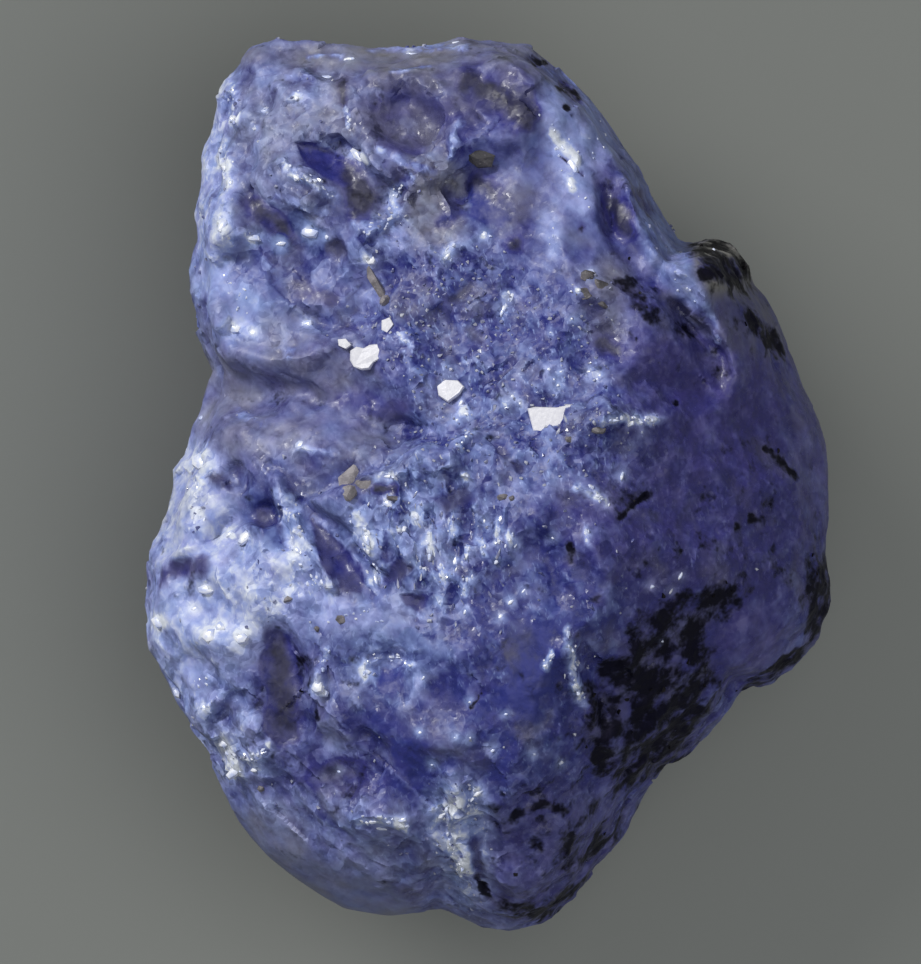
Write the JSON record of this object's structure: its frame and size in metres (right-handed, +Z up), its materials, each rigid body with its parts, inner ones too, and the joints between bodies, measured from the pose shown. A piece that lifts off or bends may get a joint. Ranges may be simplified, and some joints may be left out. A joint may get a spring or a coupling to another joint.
{
  "type": "rough tanzanite crystal",
  "caption": "Irregular piece of rough blue-violet gem crystal with broken faces, lumps and pits, lying on a flat cleavage face.",
  "frame": {"origin": "on the flat resting face, under the middle of the stone's bounding box", "axes": "+Z up through the thickness, the resting face looking down; +Y along the stone's length, towards the end with the raised block; +X to the right seen from above"},
  "size_m": [0.0092, 0.012, 0.0066],
  "materials": {
    "tanzanite": "rough see-through crystal, glassy on its breaks and frosted with small chips elsewhere"
  },
  "bodies": {
    "root": {"tanzanite": "tanzanite"}
  },
  "joints": []
}
